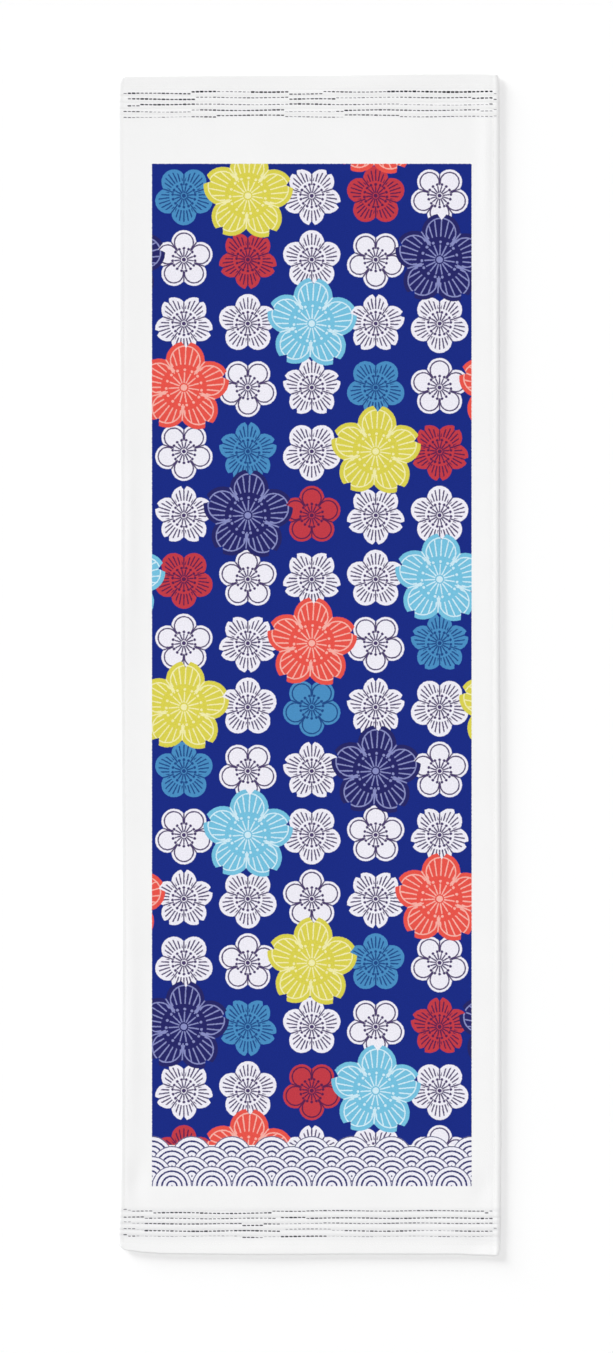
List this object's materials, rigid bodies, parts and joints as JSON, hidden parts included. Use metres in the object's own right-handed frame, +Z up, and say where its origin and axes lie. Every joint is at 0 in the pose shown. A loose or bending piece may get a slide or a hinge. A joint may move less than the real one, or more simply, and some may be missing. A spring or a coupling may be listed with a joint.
{
  "type": "sports towel",
  "caption": "Long narrow cotton towel laid flat, with a printed panel, ribbed woven headings across both ends and sewn hems.",
  "frame": {"origin": "middle of the towel's bounding box, on the surface that it lies on", "axes": "+X across the width, to the right seen with the printed face up and the panel's clean edge at the far end; +Y along the length, towards that end; +Z up, out of the printed face"},
  "size_m": [0.3586, 1.1048, 0.0027],
  "materials": {
    "printed_cotton": "white cotton pile cloth, matte, printed on one face"
  },
  "bodies": {
    "root": {"towel_cloth": "printed_cotton"}
  },
  "joints": []
}
